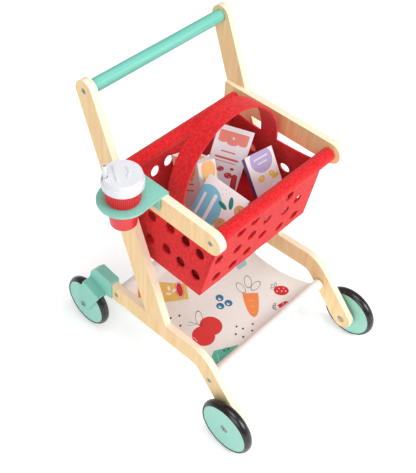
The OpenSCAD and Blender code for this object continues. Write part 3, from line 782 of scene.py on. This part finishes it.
def canvas_route():
    """Round the front dowel to its seam, across in a shallow sag, and round the rear dowel."""
    drop = sleeve_r + 0.1

    def span(y):
        share = (y - shelf_front[0]) / (shelf_rear[0] - shelf_front[0])
        z = shelf_front[1] + (shelf_rear[1] - shelf_front[1]) * share - drop
        return z - 10.5 * 4 * share * (1 - share)

    def loop(rod, start, stop, steps=20):
        return [(rod[0] + sleeve_r * math.cos(math.radians(start + (stop - start) * k / steps)),
                 rod[1] + sleeve_r * math.sin(math.radians(start + (stop - start) * k / steps)))
                for k in range(steps + 1)]

    seam_front, seam_rear = shelf_front[0] + 13.5, shelf_rear[0] - 13.5
    points = [(seam_front + 7, span(seam_front + 7) - 1.75), (seam_front - 1, span(seam_front - 1) - 1.5)]
    points += loop(shelf_front, -80, -338)
    points += [(seam_front - 1.2, span(seam_front) + 0.9), (seam_front + 2, span(seam_front + 2) + 0.1)]
    points += [(y, span(y)) for y in (seam_front + 10 + (seam_rear - seam_front - 20) * k / 16
                                      for k in range(17))]
    points += [(seam_rear - 2, span(seam_rear - 2) + 0.1), (seam_rear + 1.2, span(seam_rear) + 0.9)]
    points += loop(shelf_rear, 158, -100)
    points += [(seam_rear + 1, span(seam_rear + 1) - 1.5), (seam_rear - 7, span(seam_rear - 7) - 1.75)]
    return Route(smooth_path(points, 2))


def canvas_sheet():
    """The sling: a sheet with a waist, laid along its route, and slightly rippled where it sags."""
    route = canvas_route()
    columns = 84
    rows = round(route.length / 3)
    build = bmesh.new()
    middle, reach = (shelf_front[0] + shelf_rear[0]) / 2, (shelf_rear[0] - shelf_front[0]) / 2
    last = None
    for j in range(rows + 1):
        s = route.length * j / rows
        point, normal = route.read(s)
        u = (point.x - middle) / (reach - 6)
        half = canvas_half - waist * max(0.0, 1 - u * u)
        row = [build.verts.new((half * (2 * k / columns - 1), s, 0)) for k in range(columns + 1)]
        if last:
            for k in range(columns):
                build.faces.new((last[k], last[k + 1], row[k + 1], row[k]))
        last = row
    slab = made(build, "canvas_sling")
    thicken(slab, canvas_t)
    soft_edges(slab, 0.5)

    def form(x, s, h):
        point, normal = route.read(s)
        point = point + normal * (h - canvas_t / 2)
        u = (point.x - middle) / reach
        hang = max(0.0, 1 - u * u)
        edge = abs(x) / canvas_half
        hem = 0.35 * math.exp(-((abs(x) - (canvas_half - waist * hang - 6)) / 1.2) ** 2)
        wave = noise.noise(Vector((x, point.x, 3)) * 0.022) * 1.6 * hang
        return x, point.x, point.y + wave - 1.5 * hang * (1 - edge) - hem * hang

    shaped(slab, form)
    return slab


show(canvas_sheet(), canvas, "canvas", "cart_frame", "canvas_shelf")

# ---- Wheels -----------------------------------------------------------------
# Moulded discs with a soft rim. A glossy black rubber tyre with a round tread is stretched over
# each. Grey nylon rings keep the front wheels off the legs.

teal = Finish("teal_plastic", {"Specular IOR Level": 0.45})
grain = teal.cloud(teal.place(), 700, 3.0)
teal.colour(teal.mix(teal.ramp(grain, 0.3, 0.7), tone(144, 206, 190), tone(152, 212, 197)))
teal.plug(teal.shader.inputs["Roughness"], teal.ramp(grain, 0.3, 0.7, 0.42, 0.52))
teal.bump(grain, 0.00006)

rubber = Finish("black_rubber", {"Specular IOR Level": 0.6})
dust = rubber.cloud(rubber.place(), 380, 4.0)
rubber.colour(rubber.mix(rubber.ramp(dust, 0.4, 0.75), tone(14, 13, 16), tone(27, 26, 29)))
rubber.plug(rubber.shader.inputs["Roughness"], rubber.ramp(dust, 0.3, 0.75, 0.2, 0.34))
rubber.bump(dust, 0.00008)

for end in ("front", "rear"):
    for side in ("left", "right"):
        wheel = f"{end}_{side}_wheel"
        disc = rounded_copy(f"{end}_disc_{side}", f"{end}_disc_{side}_moulding", 1.4)
        show(disc, teal, "wheel_plastic", wheel, f"{end}_disc_{side}")
        tyre = rounded_copy(f"{end}_tyre_{side}", f"{end}_tyre_{side}_ring", 0.8, 3, 60)
        show(tyre, rubber, "tyre", wheel, f"{end}_tyre_{side}")

grey_plastic = Finish("grey_plastic", {"Roughness": 0.5})
fleck = grey_plastic.cloud(grey_plastic.place(), 800, 2.0)
grey_plastic.colour(grey_plastic.mix(fleck, tone(200, 200, 196), tone(222, 222, 218)))
grey_plastic.bump(fleck, 0.00005)
show(rounded_copy("front_spacers", "front_spacer_rings", 0.3, 2), grey_plastic, "spacer_plastic",
     "cart_frame", "front_spacers")

# ---- Rear wheel brackets ------------------------------------------------------
# Teal mouldings that cap the ends of the base rails. A flat tongue reaches down on each side of
# the rear wheel, and the outer one carries the axle bolt's head.

moulding = Finish("bracket_plastic", {"Specular IOR Level": 0.45})
tint = moulding.cloud(moulding.place(), 500, 3.0)
moulding.colour(moulding.mix(moulding.ramp(tint, 0.3, 0.7), tone(128, 198, 182), tone(138, 206, 190)))
moulding.plug(moulding.shader.inputs["Roughness"], moulding.ramp(tint, 0.3, 0.7, 0.4, 0.5))
moulding.bump(tint, 0.00008)
for side in ("left", "right"):
    show(rounded_copy(f"bracket_{side}", f"bracket_{side}_moulding", 1.0), moulding, "bracket_plastic",
         "cart_frame", f"bracket_{side}")

# ---- Cup holder -------------------------------------------------------------
# A ring on a plate that clips over the left arm, in the same teal plastic.

show(rounded_copy("cup_holder", "cup_holder_moulding", 0.9), moulding, "bracket_plastic", "holder",
     "cup_holder")

# ---- Cup --------------------------------------------------------------------
# A red takeaway cup with a ribbed band, a white stepped lid and a short grey straw.

cup_red = Finish("red_plastic", {"Specular IOR Level": 0.45, "Coat Weight": 0.1})
haze = cup_red.cloud(cup_red.place(), 420, 3.0)
cup_red.colour(cup_red.mix(cup_red.ramp(haze, 0.3, 0.7), tone(212, 36, 44), tone(222, 46, 52)))
cup_red.plug(cup_red.shader.inputs["Roughness"], cup_red.ramp(haze, 0.3, 0.7, 0.36, 0.46))
cup_red.bump(haze, 0.00006)
show(rounded_copy("cup", "cup_shell", 0.5, 2), cup_red, "cup_plastic", "drink_cup", "cup")

cup_x, cup_y = -171.0, 29.0


def ribbed_band():
    """A sleeve round the cup whose outside has fine upright ribs."""
    ribs, points, low, high = 60, 6, 395.0, 420.7
    groove, cup_foot, cup_r, cup_slope = 1.0, 350.0, 19.0, 6.2 / 74
    build = bmesh.new()
    rings = []
    for z, out, ribbed in ((low, -1.0, 0), (low, 0.6, 0), (low + 0.8, 1.2, 0), (low + 2.2, 1.2, 0),
                           (low + 2.8, 1.2, 1), (high - 2.8, 1.2, 1), (high - 2.2, 1.2, 0),
                           (high - 0.8, 1.2, 0), (high, 0.6, 0), (high, -1.0, 0)):
        ring = []
        for k in range(ribs * points):
            angle = 2 * math.pi * k / (ribs * points)
            r = cup_r + cup_slope * (z - cup_foot) + out - (groove if ribbed and k % points < 2 else 0)
            ring.append(build.verts.new(((cup_x + r * math.cos(angle)) * MM,
                                         (cup_y + r * math.sin(angle)) * MM, z * MM)))
        rings.append(ring)
    for lower, upper in zip(rings, rings[1:] + rings[:1]):
        for k in range(len(lower)):
            after = (k + 1) % len(lower)
            build.faces.new((lower[k], lower[after], upper[after], upper[k]))
    band = made(build, "ribbed_band")
    alone(band)
    bpy.ops.object.shade_smooth_by_angle(angle=math.radians(30))
    return band


show(ribbed_band(), cup_red, "cup_plastic", "drink_cup", "cup_band")

lid_white = Finish("white_plastic", {"Specular IOR Level": 0.5})
cast = lid_white.cloud(lid_white.place(), 500, 3.0)
lid_white.colour(lid_white.mix(lid_white.ramp(cast, 0.3, 0.7), tone(216, 217, 222), tone(224, 225, 230)))
lid_white.plug(lid_white.shader.inputs["Roughness"], lid_white.ramp(cast, 0.3, 0.7, 0.32, 0.42))
lid_white.bump(cast, 0.00005)


def lid_with_relief():
    """The lid, with a bar and a small arc raised on its top."""
    lid = rounded_copy("cup_lid", "cup_lid_moulding", 0.8, 3, 30)
    parts = [lid]
    top = 421 + 18.5
    for ax, ay, bx, by, w in ((0, 17, -13, -5, 5), (11, 5, 8, -4, 1.6), (8, -4, -0.5, -10, 1.6)):
        length = math.hypot(bx - ax, by - ay)
        bpy.ops.mesh.primitive_cube_add(size=1)
        bar = bpy.context.object
        bar.scale = (length + w, w, 2.6)
        bar.rotation_euler = (0, 0, math.atan2(by - ay, bx - ax))
        bar.location = (cup_x + (ax + bx) / 2, cup_y + (ay + by) / 2, top + 0.3)
        bpy.ops.object.transform_apply(location=True, rotation=True, scale=True)
        apply_modifier(bar, "BEVEL", width=w * 0.45, segments=4, limit_method="ANGLE",
                       angle_limit=math.radians(60), affect="EDGES", use_clamp_overlap=True)
        bar.scale = (MM, MM, MM)
        alone(bar)
        bpy.ops.object.transform_apply(location=False, rotation=False, scale=True)
        parts.append(bar)
    bpy.ops.object.select_all(action="DESELECT")
    for part in parts:
        part.select_set(True)
    bpy.context.view_layer.objects.active = lid
    bpy.ops.object.join()
    alone(lid)
    bpy.ops.object.shade_smooth_by_angle(angle=math.radians(35))
    return lid


show(lid_with_relief(), lid_white, "lid_plastic", "lid", "cup_lid")
straw_grey = Finish("straw_plastic", {"Roughness": 0.35})
milk = straw_grey.cloud(straw_grey.place(), 600, 2.0)
straw_grey.colour(straw_grey.mix(milk, tone(214, 214, 216), tone(230, 230, 232)))
straw_grey.bump(milk, 0.00004)
show(rounded_copy("straw", "straw_tube", 0.25, 2), straw_grey, "straw_plastic", "lid", "straw")

# ---- Play food cartons --------------------------------------------------------
# Four cartons of coated card, with rounded folds and screen-printed faces. Some faces carry painted shade as
# well.


class Carton(Print):
    """The finish of a carton, inked in millimetres across its front from its lower middle."""

    def __init__(self, name, size, drop, at, turn):
        finish = Finish(name, {"Specular IOR Level": 0.4})
        place = finish.add("Mapping", {"vector_type": "TEXTURE"},
                           {"Vector": finish.place(), "Location": tuple(c * MM for c in at),
                            "Rotation": tuple(math.radians(c) for c in turn), "Scale": (MM, MM, MM)})
        split = [finish.add("SeparateXYZ", {}, {0: place}, k) for k in range(3)]
        super().__init__(finish, finish.add("CombineXYZ", {}, {0: split[0], 1: split[2]}), 0.3)
        self.side = Print(finish, finish.add("CombineXYZ", {}, {0: split[1], 1: split[2]}), 0.3)
        self.width, self.depth, self.height = size
        self.drop = drop
        self.x, self.y, self.z = split
        self.card = finish.cloud(place, 1.4, 3.0)
        finish.plug(finish.shader.inputs["Roughness"], finish.ramp(self.card, 0.3, 0.7, 0.42, 0.56))
        finish.bump(self.card, 0.00005)

    def finished(self, front, top, left, right, back):
        """Puts each face's colour on that face."""
        finish = self.finish
        near = 0.45
        side = finish.mix(finish.ramp(self.x, -1, 1), left, right)
        colour = finish.mix(finish.ramp(abs(self.x), self.width / 2 - near, self.width / 2 - near + 0.1),
                            back, side)
        colour = finish.mix(finish.ramp(self.y, near - 0.1, near), front, colour)
        roof = self.z + self.y * (self.drop / self.depth)
        colour = finish.mix(finish.ramp(roof, self.height - near, self.height - near + 0.1), colour, top)
        shade = finish.ramp(self.card, 0.3, 0.7, 0.0, 0.02)
        finish.colour(finish.mix(shade, colour, tone(150, 148, 146)))
        return finish


white = tone(250, 248, 251)
# Painted shade: a grey that stands for white card in shade, used on the crisps' right face and on both sides
# of the shake carton.
painted_shade_grey = tone(196, 192, 198)

biscuits = Carton("biscuit_card", (72, 24, 138), 10, (-109.5, -33.5, 257), (-31.5, 6, -86.5))
front = biscuits.lay(
    white,
    ((128, 204, 232), biscuits.oval((-18.8, 93), 26, 33, 8)),
    ((20, 138, 126), biscuits.oval((4.3, 110), 8.2, 3.4, -14), biscuits.oval((14, 119.5), 9, 3.6, 111)),
    ((218, 176, 120), biscuits.oval((15, 84), 10), biscuits.oval((31, 117), 9)),
    ((150, 100, 60), *(biscuits.oval(dot, 1.0) for dot in (
        (12, 87), (18, 85), (14, 79), (20, 90), (29, 119), (33, 114)))),
    ((196, 200, 206), *(biscuits.oval(dot, 0.8) for dot in (
        (-7, 130), (-2, 132), (1, 127), (5, 131), (-3, 124)))),
    # Painted shade: the lowest part of the front faces the left wall and shows through its holes, so it is
    # painted dark red where it lies in shade.
    ((140, 14, 22), biscuits.shape((-40, -2), (40, -2), (40, 46), (-40, 46))),
    ((240, 248, 252), biscuits.bar((-27, 75), (-27, 110), 4), biscuits.bar((-11, 71), (-11, 115), 5.5)))
biscuit_card = biscuits.finished(front, tone(236, 236, 240), tone(70, 170, 170), tone(120, 182, 214), white)

crisps = Carton("crisps_card", (44, 24, 138), 21, (69, -62, 250), (-9.5, -17, -24))
front = crisps.lay(
    white,
    ((190, 180, 222), crisps.oval((1, 122), 17, 24)),
    ((236, 232, 246), crisps.bar((-9, 125), (11, 127), 3.0), crisps.bar((-5, 116), (8, 117), 2.6)),
    ((246, 214, 96), crisps.oval((-7, 88), 6.6, 5.0, 70), crisps.oval((10, 90), 6.4, 4.2, 110),
     crisps.oval((14, 83), 6.0, 4.0, 20)),
    ((250, 228, 140), crisps.oval((-7, 89), 3.6, 2.4, 70), crisps.oval((10, 91), 3.4, 2.0, 110)))
# The right face is painted grey as painted shade.
crisps_card = crisps.finished(front, tone(206, 200, 226), tone(92, 80, 152), painted_shade_grey, white)

juice = Carton("juice_card", (56, 34, 128), 6, (-46, 4.5, 248), (-3, -18.5, -92.5))
front = juice.lay(
    white,
    ((250, 188, 116), juice.oval((2, 116), 19, 16), juice.oval((-13, 118), 11, 10),
     juice.oval((8, 103), 7, 9)),
    ((60, 150, 130), juice.oval((-22, 94), 1.4), juice.oval((-19, 98), 1.2), juice.oval((-24, 99), 1.0)),
    ((232, 132, 60), juice.bar((-14, 84), (12, 90), 2.2), juice.bar((-8, 74), (10, 79), 2.2)))
side = juice.side.lay(
    white,
    ((252, 200, 132), juice.side.oval((17, 112), 12, 17), juice.side.oval((24, 108), 8, 14),
     juice.side.oval((12, 100), 5, 8)),
    ((232, 132, 60), juice.side.bar((7, 82), (27, 88), 2.2), juice.side.bar((10, 73), (26, 78), 2.2)),
    ((60, 150, 130), juice.side.oval((5, 90), 1.3), juice.side.oval((8, 94), 1.1)))
panel = Print(juice.finish, juice.finish.add("CombineXYZ", {}, {0: juice.x, 1: juice.y}), 0.3)
roof = panel.lay(white,
                 ((248, 184, 112), panel.shape((-22, 7), (18, 4), (14, 28), (-14, 28))))
# The left face is painted dark orange: the print's orange darkened by painted shade.
juice_card = juice.finished(front, roof, tone(226, 128, 60), side, white)

shake = Carton("shake_card", (54, 32, 146), 17, (3, 20, 254), (-15.5, 9.5, -57.5))
front = shake.lay(
    white,
    ((244, 146, 132), shake.shape((-22, 138), (-22, 122), (22, 122), (22, 138)),
     shake.oval((-15, 122), 7, 4), shake.oval((0, 121), 9, 5.5), shake.oval((15, 122), 7, 4)),
    ((240, 236, 242), shake.oval((0, 128), 2)),
    ((226, 104, 96), shake.bar((-12, 104), (8, 104), 2.2), shake.bar((-18, 93), (15, 93), 3.4),
     shake.bar((-20, 87), (13, 87), 1.2)),
    ((214, 62, 66), shake.oval((-6, 74), 5.4, 4.2, 20), shake.oval((8, 66), 6, 5),
     shake.oval((11, 78), 3, 2.4), shake.bar((18, 66), (21, 40), 9), shake.bar((-22, 80), (-18, 70), 2.4)),
    ((250, 220, 216), shake.oval((-8, 75), 0.7), shake.oval((-4, 73), 0.7), shake.oval((6, 67), 0.8),
     shake.oval((10, 64), 0.8)))
# Both sides are painted grey as painted shade.
shake_card = shake.finished(front, tone(238, 234, 240), painted_shade_grey, painted_shade_grey, white)

for node, body, card, slot in (("biscuit_carton", "biscuits", biscuit_card, "biscuit_card"),
                               ("crisps_carton", "crisps", crisps_card, "crisps_card"),
                               ("juice_carton", "juice", juice_card, "juice_card"),
                               ("shake_carton", "shake", shake_card, "shake_card")):
    show(rounded_copy(node, f"{node}_box", 0.7, 2), card, slot, body, node)
